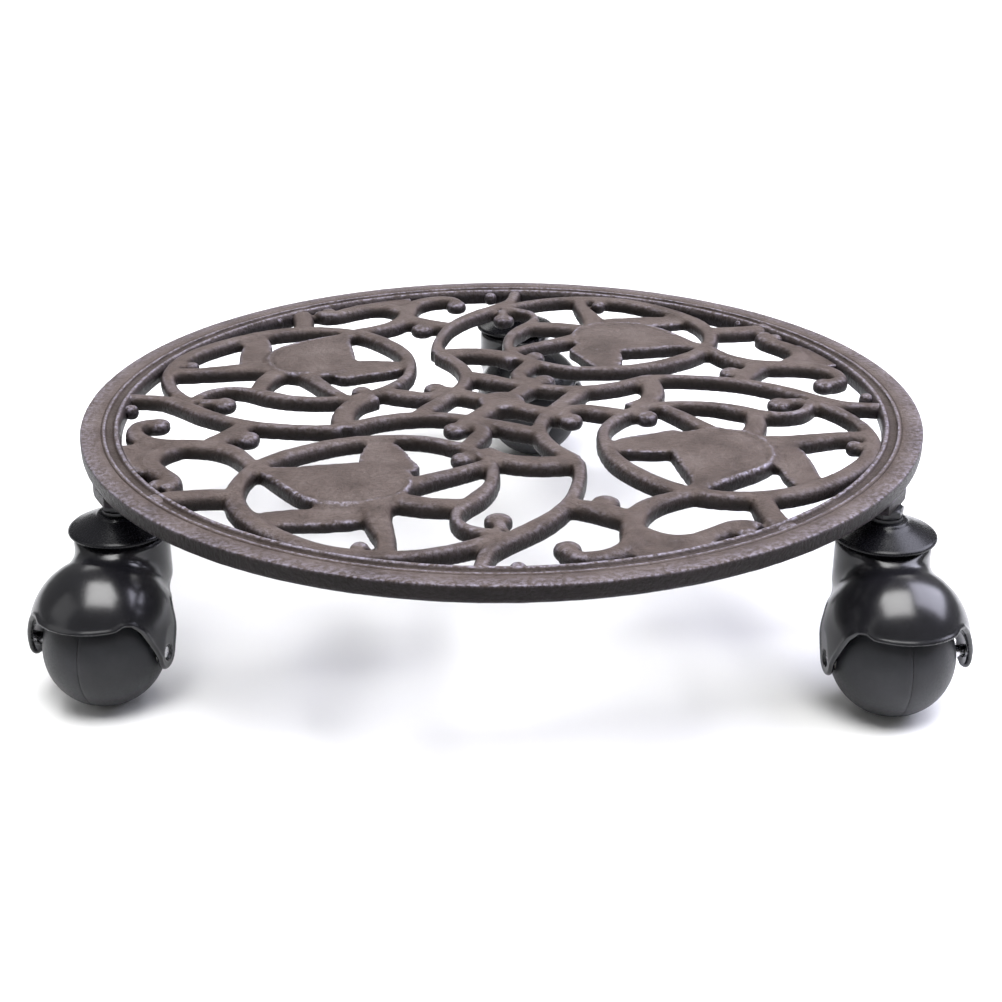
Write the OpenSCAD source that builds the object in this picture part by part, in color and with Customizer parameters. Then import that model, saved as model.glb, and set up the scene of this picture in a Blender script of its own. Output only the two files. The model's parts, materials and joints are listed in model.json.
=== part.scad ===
// Plant pot caddy: a round openwork cast-iron plate that rolls on three swivelling
// ball casters, each with a moulded hood that half covers its ball.
// The origin is the centre of the plate's top face, on which the pot stands. +Z is up,
// and the front of the caddy faces -Y.

/* [Plate] */
// Radius of the plate
plate_r = 150; // [145:1:155]
// Thickness of the rim
rim_t = 6; // [5:0.5:7]
// Inner radius of the rim band
rim_inner_r = 136; // [134:0.5:137]
// Top of the scroll bars below the pot's resting plane
bar_drop = 0.5; // [0.2:0.1:1]
// Radius of the solid hub at the plate's centre
hub_r = 8.5; // [8:0.5:10]
// Straight steps in each stretch of a scroll
curve_steps = 2; // [1:1:4]

/* [Caster places] */
// Radius of the circle on which the three studs stand
stud_circle_r = 145; // [142:0.5:146]
// Turn of the three studs about their own centre
stud_turn = -2.6; // [-15:0.1:15]
// Shift of the studs' circle to the right of the plate's centre
stud_shift = 1.6; // [0:0.1:1.6]
// Way the left caster trails
left_trail = 256; // [0:1:360]
// Way the right caster trails
right_trail = 275; // [0:1:360]
// Way the rear caster trails
rear_trail = 291; // [0:1:360]

/* [Caster] */
// Radius of the ball
ball_r = 20; // [19:0.5:20.5]
// Height of the ball's centre below the plate's top
ball_drop = 52; // [52:0.5:54]
// Distance from the stud's axis to the ball's centre
trail = 21.5; // [20.5:0.5:23]
// Gap between the ball and the hood
ball_gap = 2.2; // [2:0.1:2.6]
// Wall of the hood
hood_wall = 2; // [1.8:0.1:2.4]
// Slide of the left and right balls along their axles, towards each other
ball_slide = 1.3; // [0:0.1:1.5]
// Radius of the flange cap
cap_r = 17; // [16.6:0.1:18]
// Radius of the swivel boss behind the ball
boss_r = 15.5; // [15:0.1:16]
// Radius of the steel axle
axle_r = 2; // [1.8:0.1:2.2]

/* [Stud] */
// Radius of the stud's threaded end
thread_r = 3; // [2.8:0.1:3]
// Radius of the stud's plain journal
journal_r = 4; // [3.8:0.1:4.2]
// Radial play of the turning fits
play = 0.06; // [0.04:0.01:0.1]

/* [Hidden] */
$fn = 64;
QUADRANTS = [0, 90, 180, 270];

// Heights on a stud, from the plate's top down
thread_top = -2;
boss_bottom = -9;
washer_top = -12.2;
cap_top = -13.4;
cap_under = -17.6;
neck_top = -18.6;
cap_edge = -19.6;
bush_bottom = -31.6;
clip_top = -31.9;
clip_bottom = -33;
stud_bottom = -34.2;
bore_bottom = -35;

// Groove round the rim's top, and the rim's small chamfers
groove_outer_r = 141.2;
groove_inner_r = 138.6;
groove_depth = 0.9;
rim_bevel = 0.8;
rim_foot_bevel = 0.6;

// Nut and washer on each stud
nut_r = 5.77;
washer_r = 5.4;
washer_slit = 1;
collar_r = 6.4;

// Bosses under the rim
boss_pad_r = 9;
boss_rim_gap = 0.2;

// Swivel bearing
bearing_n = 12;
bearing_r = 1.25;
bearing_pitch_r = 10.4;
race_gap = 0.05;
bush_r = 6;
clip_r = 5.2;
clip_groove_r = 3.2;
clip_slot = 2.4;

// Ball wheel
sleeve_r = 3.5;
wheel_hub_r = 6;
wheel_wall = 3.4;
sleeve_half = 19.2;
axle_half = 22.7;

// Hood
hood_r = ball_r + ball_gap + hood_wall;
cavity_r = ball_r + ball_gap;
neck_r = 14;
boss_top = -20.6;
boss_h = 18.4;
dome_back = 3;
dome_rise = 5;
ear_r = 5.5;
ear_pocket_r = 2.6;
ear_pocket = 1.4;
visor_h = 14.2;
notch_h = 15.5;

// Each caster: angle of its stud, the way it trails and its ball's place along the axle
CASTERS = [
    [210 + stud_turn, left_trail, -ball_slide],
    [330 + stud_turn, right_trail, ball_slide],
    [90 + stud_turn, rear_trail, 0]
];

// Scrolls of one quarter of the plate. Each row is x, y and the bar's width there.
outer_vine = [
    [24.5, -57, 6], [24.8, -66, 5], [23.5, -76, 5], [20.5, -88, 5.5], [15, -99, 6.5], [8, -108, 7.5],
    [0, -116.5, 7], [-5.5, -124, 6], [-7.5, -133, 5.5], [-8, -138, 6]
];
ring_outer = [
    [-1, -112.5, 5], [-10, -119.5, 6], [-20, -124.3, 5.5], [-32, -127, 6], [-45, -126, 7], [-57, -121.5, 7.5],
    [-68, -113, 7.5], [-77, -103, 7.5], [-83.5, -92, 7.5], [-86.5, -80, 7], [-85.5, -68, 6.5],
    [-81.5, -58, 7], [-75.5, -50.5, 7.5], [-67, -43.8, 7.5], [-57.5, -38.6, 7], [-47, -35.6, 6]
];
ring_inner = [
    [-49, -36, 6], [-36, -34.8, 5], [-27, -36, 5], [-18, -40.5, 5.5], [-10, -47.5, 6], [-5, -56, 5],
    [-3.8, -66, 5], [-5, -76, 5.5], [-9, -85, 7], [-14, -93.5, 5.5], [-15.6, -101, 4], [-13, -107.5, 4.5],
    [-7, -111.5, 5], [-2, -112, 5]
];
hook_neck = [[-2.5, -103, 5], [-2, -110, 5]];
flower_stem = [[-13, -90.5, 7], [-24, -89.5, 8], [-34, -86, 9]];
upper_tendril = [[-5, -57, 5], [-14, -63.5, 6], [-24, -69.5, 7], [-32, -74.5, 8]];
sepal_leg = [[-40, -88, 10], [-40, -98, 9.5], [-38, -108, 8], [-36.3, -116, 6.5], [-36, -126, 7]];
bud_tie = [[20.5, -91, 7], [28, -94, 9], [37, -100, 9]];
leaf_stem = [
    [58, -84, 6], [50, -88, 7], [44, -93, 8], [40, -100, 8.5], [38.5, -108, 8.5], [38, -116, 8.5],
    [35, -123, 8], [28.5, -128, 7], [21, -128.5, 6], [17.5, -124, 6]
];
leaf_lobe = [
    [38, -110, 8], [47, -117.5, 8], [55, -118, 8], [62, -114, 8], [68, -109, 7], [73, -107.5, 6], [77, -110, 5]
];
foot_bar = [[81, -86, 8], [81.5, -97, 8.5], [83, -106, 9], [86, -112, 9]];
heart_bar = [[-6, -46, 6], [0, -53.5, 8.5], [9, -56.5, 9], [18, -56.5, 9], [26, -55, 8]];
centre_arc = [
    [-54, -23, 7], [-45, -17.5, 6.5], [-36, -14, 6.5], [-27, -13, 6], [-18, -14.5, 6], [-9, -18, 6],
    [-1, -22.5, 7], [5, -26, 8], [13, -30.5, 7]
];
centre_curl = [[-12.5, -44, 7], [-9, -35, 8], [-7, -29, 7], [-9, -23.5, 6], [-14.5, -21.5, 6]];
hub_spoke = [[0, 0, 8], [-12, 8, 8], [-22, 14, 7]];
SCROLLS = [
    outer_vine, ring_outer, ring_inner, hook_neck, flower_stem, upper_tendril, sepal_leg, bud_tie,
    leaf_stem, leaf_lobe, foot_bar, heart_bar, centre_arc, centre_curl, hub_spoke
];

// Round knobs of one quarter: x, y and radius
KNOBS = [
    [-2.5, -101.5, 4.6], [-14, -52, 4], [-44, -120, 3], [31.5, -89, 4.8], [17.8, -122, 4.4],
    [72.5, -112.5, 3.5], [2.8, -134.5, 2.8], [92.5, -101, 2], [-16.5, -24.5, 4.5]
];

// Flat leaves and petals of one quarter
big_petal = [
    [-84, -59], [-72, -60], [-60, -58], [-47, -56.5], [-38, -58], [-31, -64], [-29, -74], [-32, -84],
    [-40, -90], [-50, -92], [-60, -90], [-67, -84], [-73, -76], [-79, -67]
];
top_petal = [
    [-48, -57], [-48.5, -48], [-47, -40], [-44, -36.5], [-38, -38], [-34, -44], [-31, -52], [-28, -60],
    [-34, -66], [-44, -64]
];
low_petal = [
    [-80, -97], [-76, -93.5], [-68, -91.5], [-58, -90.5], [-48, -88], [-42, -92], [-45, -101], [-55, -103],
    [-66, -103.5], [-75, -103]
];
leaf_web = [[40, -114], [48, -120], [60, -118], [62, -121], [50, -127.5], [38, -131.5]];
PETALS = [big_petal, top_petal, low_petal];

// Point on a smooth curve through p1 and p2, with p0 and p3 as its neighbours
function spline_point(p0, p1, p2, p3, t) =
    (2 * p1 + (p2 - p0) * t + (2 * p0 - 5 * p1 + 4 * p2 - p3) * t * t
    + (3 * p1 - p0 - 3 * p2 + p3) * t * t * t) / 2;

// A row of the list, or a row mirrored past the list's end
function row_at(rows, i) =
    i < 0 ? 2 * rows[0] - rows[1]
    : i >= len(rows) ? 2 * rows[len(rows) - 1] - rows[len(rows) - 2]
    : rows[i];

// The scroll's rows with curve_steps steps in each stretch
function smooth_rows(rows) = [
    for (i = [0:len(rows) - 2])
        for (k = [0:curve_steps - 1])
            spline_point(row_at(rows, i - 1), rows[i], rows[i + 1], row_at(rows, i + 2), k / curve_steps),
    rows[len(rows) - 1]
];

// Unit vector to the left of the scroll at row i
function left_of(rows, i) =
    let (a = row_at(rows, i - 1), b = row_at(rows, i + 1), d = [b[0] - a[0], b[1] - a[1]])
    [-d[1], d[0]] / norm(d);

// One side of the scroll: side is 1 for left, -1 for right
function side_point(rows, i, side) =
    [rows[i][0], rows[i][1]] + left_of(rows, i) * side * rows[i][2] / 2;

// Flat outline of one scroll bar
module scroll(control_rows) {
    rows = smooth_rows(control_rows);
    last = len(rows) - 1;
    polygon(concat(
        [for (i = [0:last]) side_point(rows, i, 1)],
        [for (i = [last:-1:0]) side_point(rows, i, -1)]
    ));
}

// Flat outline of the scrollwork in one quarter
module quarter_scrolls() {
    for (rows = SCROLLS) scroll(rows);
    for (k = KNOBS) translate([k[0], k[1]]) circle(r = k[2]);
    polygon(leaf_web);
}

// Cross-section of the rim band, with its two raised beads
module rim_section() {
    polygon([
        [rim_inner_r, -rim_t], [plate_r - rim_foot_bevel, -rim_t], [plate_r, -rim_t + rim_foot_bevel],
        [plate_r, -rim_bevel], [plate_r - rim_bevel, 0],
        [groove_outer_r + rim_bevel, 0], [groove_outer_r, -groove_depth],
        [groove_inner_r, -groove_depth], [groove_inner_r - rim_foot_bevel, 0],
        [rim_inner_r + groove_depth, 0], [rim_inner_r, -groove_depth]
    ]);
}

// The cast-iron plate: rim, scrollwork, petals, hub and the bosses for the studs
module cast_plate() {
    color([0.36, 0.31, 0.30])
    difference() {
        union() {
            rotate_extrude($fn = 180) rim_section();
            translate([0, 0, -rim_t])
                linear_extrude(rim_t - bar_drop)
                    for (a = QUADRANTS) rotate(a) quarter_scrolls();
            translate([0, 0, -rim_t])
                linear_extrude(rim_t)
                    for (a = QUADRANTS) rotate(a) for (p = PETALS) polygon(p);
            translate([0, 0, -rim_t]) cylinder(r = hub_r, h = rim_t);
            for (c = CASTERS) boss_pad(c[0]);
        }
        for (c = CASTERS) at_stud(c[0])
            translate([0, 0, boss_bottom - 1]) cylinder(r = thread_r, h = thread_top - boss_bottom + 1);
    }
}

// One boss under the rim, trimmed flush with the rim's outer wall
module boss_pad(angle) {
    intersection() {
        at_stud(angle) translate([0, 0, boss_bottom]) cylinder(r = boss_pad_r, h = -rim_t - boss_bottom + 1);
        translate([0, 0, boss_bottom]) cylinder(r = plate_r - boss_rim_gap, h = rim_t, $fn = 180);
    }
}

// Moves its children from the origin to a stud's axis
module at_stud(angle) {
    translate([stud_shift + stud_circle_r * cos(angle), stud_circle_r * sin(angle), 0]) children();
}

// Moves its children to caster i, with the ball's side towards the children's +X
module at_caster(i) {
    at_stud(CASTERS[i][0]) rotate([0, 0, CASTERS[i][1]]) children();
}

// Moves its children to the ball of caster i, with the axle along the children's +Z
module at_axle(i) {
    at_caster(i) translate([trail, 0, -ball_drop]) rotate([90, 0, 0]) children();
}

// Moves its children to the ball of caster i, slid along the axle to where the ball sits
module at_ball(i) {
    at_axle(i) translate([0, 0, CASTERS[i][2]]) children();
}

// A disc or ring that stands on the stud's axis
module ring(outer_r, inner_r, bottom, top) {
    translate([0, 0, bottom]) difference() {
        cylinder(r = outer_r, h = top - bottom);
        translate([0, 0, -1]) cylinder(r = inner_r, h = top - bottom + 2);
    }
}

// Stud: thread in the plate's boss, journal in the hood and a groove for the clip
module stud(i) {
    color([0.22, 0.22, 0.23])
    at_caster(i) rotate_extrude() polygon([
        [0, thread_top], [thread_r - 0.6, thread_top], [thread_r, thread_top - 0.6], [thread_r, cap_top],
        [journal_r, cap_top], [journal_r, clip_top], [clip_groove_r, clip_top],
        [clip_groove_r, clip_bottom], [journal_r, clip_bottom], [journal_r, stud_bottom + 0.6],
        [journal_r - 0.6, stud_bottom], [0, stud_bottom]
    ]);
}

// Thin hex nut that locks the stud against the boss
module lock_nut(i) {
    color([0.13, 0.13, 0.14])
    at_caster(i) difference() {
        translate([0, 0, washer_top]) cylinder(r = nut_r, h = boss_bottom - washer_top, $fn = 6);
        translate([0, 0, washer_top - 1]) cylinder(r = thread_r, h = boss_bottom - washer_top + 2);
    }
}

// Split spring washer between the nut and the flange cap
module lock_washer(i) {
    color([0.2, 0.2, 0.21])
    at_caster(i) difference() {
        ring(washer_r, thread_r + 0.1, cap_top, washer_top);
        rotate([0, 0, 200]) translate([0, -washer_slit / 2, cap_top - 1]) cube([8, washer_slit, 4]);
    }
}

// Dished flange cap that covers the bearing, with the upper ball race under it
module flange_cap(i) {
    color([0.07, 0.07, 0.08])
    at_caster(i) rotate_extrude() difference() {
        polygon([
            [journal_r, cap_top], [collar_r, cap_top], [collar_r + 1, cap_top - 0.6], [cap_r - 1, cap_edge + 2.6],
            [cap_r, cap_edge + 1.6], [cap_r, cap_edge + 0.5], [cap_r - 0.6, cap_edge],
            [neck_r + 1, cap_edge], [neck_r + 1, cap_under], [journal_r, cap_under]
        ]);
        race_section();
    }
}

// Section of the space in which the bearing balls roll
module race_section() {
    translate([bearing_pitch_r, (cap_under + neck_top) / 2]) circle(r = bearing_r + race_gap, $fn = 32);
}

// Swivel bearing balls
module bearing_balls(i) {
    color([0.75, 0.75, 0.77])
    at_caster(i) for (k = [0:bearing_n - 1])
        rotate([0, 0, k * 360 / bearing_n]) translate([bearing_pitch_r, 0, (cap_under + neck_top) / 2])
            sphere(r = bearing_r, $fn = 24);
}

// Steel bush pressed into the hood, in which the journal turns
module swivel_bush(i) {
    color([0.6, 0.6, 0.62])
    at_caster(i) ring(bush_r, journal_r + play, bush_bottom, neck_top);
}

// Open clip in the stud's groove, under the bush
module retaining_clip(i) {
    color([0.45, 0.45, 0.47])
    at_caster(i) difference() {
        ring(clip_r, clip_groove_r, clip_bottom, clip_top);
        translate([0, -clip_slot / 2, clip_bottom - 1]) cube([clip_r + 1, clip_slot, 4]);
    }
}

// Side view of the space below the hood's edge: X runs forwards, Y up from the axle
module mouth_outline() {
    difference() {
        polygon([
            [60, visor_h], [15, visor_h], [12.5, notch_h - 0.3], [10.3, notch_h - 0.9], [8.5, notch_h - 4],
            [7, 6], [ear_r, 0], [-ear_r, 0], [-7, 6],
            [-8.5, notch_h - 4], [-11, visor_h - 0.6], [-60, visor_h - 0.6], [-60, -60], [60, -60]
        ]);
        circle(r = ear_r);
    }
}

// Hood: swivel boss, neck, dome, visor and the two ears that hold the axle
module hood(i) {
    color([0.09, 0.09, 0.1])
    at_caster(i) difference() {
        union() {
            hull() for (k = [0, 1])
                translate([trail - k * dome_back, 0, -ball_drop + k * dome_rise])
                    rotate([0, 0, 3.75]) sphere(r = hood_r, $fn = 48);
            translate([0, 0, boss_top - 1]) cylinder(r = neck_r, h = neck_top - boss_top + 1);
            translate([0, 0, boss_top - boss_h]) cylinder(r = boss_r, h = boss_h);
        }
        translate([trail, 0, -ball_drop]) sphere(r = cavity_r);
        translate([trail, 30, -ball_drop]) rotate([90, 0, 0]) linear_extrude(60) mouth_outline();
        translate([0, 0, bore_bottom]) cylinder(r = bush_r, h = 30);
        rotate_extrude() race_section();
        at_ball_axis() cylinder(r = axle_r, h = 60, center = true);
        for (s = [0, 180]) at_ball_axis() rotate([s, 0, 0])
            translate([0, 0, hood_r - ear_pocket]) cylinder(r = ear_pocket_r, h = 10);
    }
}

// Moves its children to the ball's axis within a caster's own frame
module at_ball_axis() {
    translate([trail, 0, -ball_drop]) rotate([90, 0, 0]) children();
}

// Steel axle pressed into both ears
module axle(i) {
    color([0.7, 0.7, 0.72])
    at_axle(i) rotate_extrude() polygon([
        [0, -axle_half], [axle_r - 0.3, -axle_half], [axle_r, -axle_half + 0.3],
        [axle_r, axle_half - 0.3], [axle_r - 0.3, axle_half], [0, axle_half]
    ]);
}

// One hollow half of the ball: side is 1 or -1 along the axle
module wheel_half(i, side) {
    color([0.24, 0.24, 0.26])
    at_ball(i) rotate([side > 0 ? 0 : 180, 0, 0]) rotate_extrude() difference() {
        intersection() {
            circle(r = ball_r, $fn = 96);
            square([ball_r, sleeve_half + 0.4]);
        }
        square([sleeve_r, ball_r]);
        intersection() {
            circle(r = ball_r - wheel_wall, $fn = 96);
            translate([wheel_hub_r, -1]) square(ball_r);
        }
    }
}

// Sleeve pressed into the ball's hub, which turns on the axle
module hub_sleeve(i) {
    color([0.8, 0.8, 0.78])
    at_ball(i) ring(sleeve_r, axle_r + play, -sleeve_half, sleeve_half);
}

cast_plate();
stud(0);  // stud_left
stud(1);  // stud_right
stud(2);  // stud_rear
lock_nut(0);  // lock_nut_left
lock_nut(1);  // lock_nut_right
lock_nut(2);  // lock_nut_rear
lock_washer(0);  // lock_washer_left
lock_washer(1);  // lock_washer_right
lock_washer(2);  // lock_washer_rear
flange_cap(0);  // flange_cap_left
flange_cap(1);  // flange_cap_right
flange_cap(2);  // flange_cap_rear
retaining_clip(0);  // retaining_clip_left
retaining_clip(1);  // retaining_clip_right
retaining_clip(2);  // retaining_clip_rear
bearing_balls(0);  // bearing_balls_left
bearing_balls(1);  // bearing_balls_right
bearing_balls(2);  // bearing_balls_rear
swivel_bush(0);  // swivel_bush_left
swivel_bush(1);  // swivel_bush_right
swivel_bush(2);  // swivel_bush_rear
hood(0);  // hood_left
hood(1);  // hood_right
hood(2);  // hood_rear
axle(0);  // axle_left
axle(1);  // axle_right
axle(2);  // axle_rear
wheel_half(0, 1);  // wheel_half_a_left
wheel_half(1, 1);  // wheel_half_a_right
wheel_half(2, 1);  // wheel_half_a_rear
wheel_half(0, -1);  // wheel_half_b_left
wheel_half(1, -1);  // wheel_half_b_right
wheel_half(2, -1);  // wheel_half_b_rear
hub_sleeve(0);  // hub_sleeve_left
hub_sleeve(1);  // hub_sleeve_right
hub_sleeve(2);  // hub_sleeve_rear
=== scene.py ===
import bpy
import json
import math
import numpy as np
from mathutils import Matrix, Vector

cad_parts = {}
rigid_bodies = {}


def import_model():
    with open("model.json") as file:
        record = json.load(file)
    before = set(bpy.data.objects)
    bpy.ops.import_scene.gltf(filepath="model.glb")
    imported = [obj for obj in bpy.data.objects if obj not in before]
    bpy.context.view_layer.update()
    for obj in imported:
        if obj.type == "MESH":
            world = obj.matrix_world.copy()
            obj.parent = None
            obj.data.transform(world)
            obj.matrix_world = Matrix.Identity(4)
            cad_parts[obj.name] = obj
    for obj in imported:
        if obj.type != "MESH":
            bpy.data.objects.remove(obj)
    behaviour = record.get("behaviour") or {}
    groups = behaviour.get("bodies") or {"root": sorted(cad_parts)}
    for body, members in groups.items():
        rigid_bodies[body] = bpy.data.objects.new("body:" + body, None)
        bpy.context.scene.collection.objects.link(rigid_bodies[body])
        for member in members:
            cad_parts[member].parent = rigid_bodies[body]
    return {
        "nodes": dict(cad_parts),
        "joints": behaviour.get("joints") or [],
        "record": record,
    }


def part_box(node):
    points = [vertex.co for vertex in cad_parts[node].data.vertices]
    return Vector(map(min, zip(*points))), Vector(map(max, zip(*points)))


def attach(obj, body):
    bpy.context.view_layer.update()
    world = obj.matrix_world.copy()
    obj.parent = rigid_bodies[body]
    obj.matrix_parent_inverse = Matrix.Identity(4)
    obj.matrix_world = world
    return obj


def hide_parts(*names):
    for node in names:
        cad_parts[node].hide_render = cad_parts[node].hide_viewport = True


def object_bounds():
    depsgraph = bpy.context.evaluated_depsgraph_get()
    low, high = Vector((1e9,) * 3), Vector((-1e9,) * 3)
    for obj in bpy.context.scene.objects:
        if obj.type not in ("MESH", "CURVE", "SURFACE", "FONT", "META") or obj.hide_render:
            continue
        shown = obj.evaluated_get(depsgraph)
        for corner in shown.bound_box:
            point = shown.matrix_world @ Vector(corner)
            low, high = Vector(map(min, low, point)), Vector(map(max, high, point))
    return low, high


for leftover in list(bpy.data.objects):
    bpy.data.objects.remove(leftover)
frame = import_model()
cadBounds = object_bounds()
scene = bpy.context.scene
joints = {joint["name"]: joint for joint in frame["joints"]}
sides = ("left", "right", "rear")
mm = 0.001
print("frame loaded:", len(frame["nodes"]), "nodes")


def addNode(tree, kind, values=None, **settings):
    node = tree.nodes.new(kind)
    for key, value in settings.items():
        setattr(node, key, value)
    for key, value in (values or {}).items():
        node.inputs[key].default_value = value
    return node


def wire(tree, source, sourceSocket, target, targetSocket):
    tree.links.new(source.outputs[sourceSocket], target.inputs[targetSocket])


def mathNode(tree, operation, first, second=None):
    # first and second are numbers or (node, socket) pairs
    node = addNode(tree, "ShaderNodeMath", operation=operation)
    for slot, value in ((0, first), (1, second)):
        if isinstance(value, tuple):
            wire(tree, value[0], value[1], node, slot)
        elif value is not None:
            node.inputs[slot].default_value = value
    return node


def newMesh(name, points, faces):
    mesh = bpy.data.meshes.new(name)
    mesh.from_pydata([tuple(p) for p in points], [], [tuple(int(i) for i in f) for f in faces])
    mesh.update()
    return mesh


def newObject(name, data):
    piece = bpy.data.objects.new(name, data)
    scene.collection.objects.link(piece)
    return piece


def bakeDown(piece, name):
    # the evaluated object as a plain mesh, with the modifiers gone
    graph = bpy.context.evaluated_depsgraph_get()
    mesh = bpy.data.meshes.new_from_object(piece.evaluated_get(graph), depsgraph=graph)
    mesh.name = name
    piece.modifiers.clear()
    old = piece.data
    if isinstance(old, bpy.types.Mesh):
        piece.data = mesh
        bpy.data.meshes.remove(old)
        piece.name = name
        return piece
    bpy.data.objects.remove(piece)
    bpy.data.curves.remove(old)
    return newObject(name, mesh)


def meshArrays(mesh):
    points = np.zeros(len(mesh.vertices) * 3)
    mesh.vertices.foreach_get("co", points)
    normals = np.zeros(len(mesh.vertices) * 3)
    mesh.vertices.foreach_get("normal", normals)
    return points.reshape(-1, 3), normals.reshape(-1, 3)


def movePoints(mesh, points):
    mesh.vertices.foreach_set("co", points.ravel())
    mesh.update()


def smoothShade(mesh, edgeAngle=None):
    mesh.shade_smooth()
    if edgeAngle is not None:
        mesh.set_sharp_from_angle(angle=math.radians(edgeAngle))


def smoothLoop(points, steps, closed=True):
    # Catmull-Rom curve through the points
    points = np.array(points, float)
    count = len(points)
    out = []
    for i in range(count if closed else count - 1):
        if closed:
            p0, p1, p2, p3 = (points[(i + k) % count] for k in (-1, 0, 1, 2))
        else:
            p0, p1, p2, p3 = (points[min(max(i + k, 0), count - 1)] for k in (-1, 0, 1, 2))
        for k in range(steps):
            t = k / steps
            out.append((2 * p1 + (p2 - p0) * t + (2 * p0 - 5 * p1 + 4 * p2 - p3) * t * t
                        + (3 * p1 - p0 - 3 * p2 + p3) * t ** 3) / 2)
    if not closed:
        out.append(points[-1])
    return np.array(out)


def lathe(profile, steps):
    # turns a profile of (radius, height) about Z; points on the axis become one pole each
    rings, points, faces = [], [], []
    for radius, height in profile:
        if radius < 1e-9:
            rings.append([len(points)] * steps)
            points.append((0, 0, height))
            continue
        rings.append(list(range(len(points), len(points) + steps)))
        for k in range(steps):
            angle = 2 * math.pi * k / steps
            points.append((radius * math.cos(angle), radius * math.sin(angle), height))
    closed = profile[0][0] > 1e-9
    for i in range(len(rings) if closed else len(rings) - 1):
        low, high = rings[i], rings[(i + 1) % len(rings)]
        for k in range(steps):
            face = [low[k], low[(k + 1) % steps], high[(k + 1) % steps], high[k]]
            face = list(dict.fromkeys(face))
            if len(face) > 2:
                faces.append(face)
    return np.array(points), faces


def joinParts(parts):
    points, faces = [], []
    start = 0
    for partPoints, partFaces in parts:
        points.append(np.array(partPoints))
        faces += [[i + start for i in face] for face in partFaces]
        start += len(partPoints)
    return np.vstack(points), faces


view = {
    "spot": (-0.0076, -0.5483, 0.2043),             # metres
    "down": 24.11, "right": 0.766, "roll": -0.225,  # degrees
    "lens": 57.44,                                  # mm on a 36 mm sensor
}


def placeCamera():
    camera = bpy.data.cameras.new("viewCamera")
    camera.sensor_width = 36
    camera.lens = view["lens"]
    camera.clip_start = 0.01
    holder = newObject("viewCamera", camera)
    turn = (Matrix.Rotation(math.radians(-view["right"]), 4, "Z")
            @ Matrix.Rotation(math.radians(90 - view["down"]), 4, "X")
            @ Matrix.Rotation(math.radians(view["roll"]), 4, "Z"))
    holder.matrix_world = Matrix.Translation(view["spot"]) @ turn
    scene.camera = holder


placeCamera()


def newFinish(name):
    finish = bpy.data.materials.new(name)
    finish.use_nodes = True
    tree = finish.node_tree
    tree.nodes.clear()
    output = tree.nodes.new("ShaderNodeOutputMaterial")
    shader = tree.nodes.new("ShaderNodeBsdfPrincipled")
    wire(tree, shader, "BSDF", output, "Surface")
    place = tree.nodes.new("ShaderNodeTexCoord")
    return finish, tree, shader, place


def grain(tree, place, scale, detail=3.0, roughness=0.55):
    node = addNode(tree, "ShaderNodeTexNoise", {"Scale": scale, "Detail": detail, "Roughness": roughness})
    wire(tree, place, "Object", node, "Vector")
    return node


def ramp(tree, source, socket, stops):
    node = tree.nodes.new("ShaderNodeValToRGB")
    while len(node.color_ramp.elements) < len(stops):
        node.color_ramp.elements.new(0.5)
    for element, (position, colour) in zip(node.color_ramp.elements, stops):
        element.position = position
        element.color = (*colour, 1) if len(colour) == 3 else colour
    wire(tree, source, socket, node, "Fac")
    return node


def spread(tree, source, socket, low, high):
    limits = {"From Min": 0.3, "From Max": 0.7, "To Min": low, "To Max": high}
    node = addNode(tree, "ShaderNodeMapRange", limits)
    wire(tree, source, socket, node, "Value")
    return node


def bumpStack(tree, shader, layers):
    # layers are (height node, socket, strength, distance in metres), coarse first
    last = None
    for source, socket, strength, distance in layers:
        bump = addNode(tree, "ShaderNodeBump", {"Strength": strength, "Distance": distance})
        wire(tree, source, socket, bump, "Height")
        if last is not None:
            wire(tree, last, "Normal", bump, "Normal")
        last = bump
    wire(tree, last, "Normal", shader, "Normal")


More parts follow.
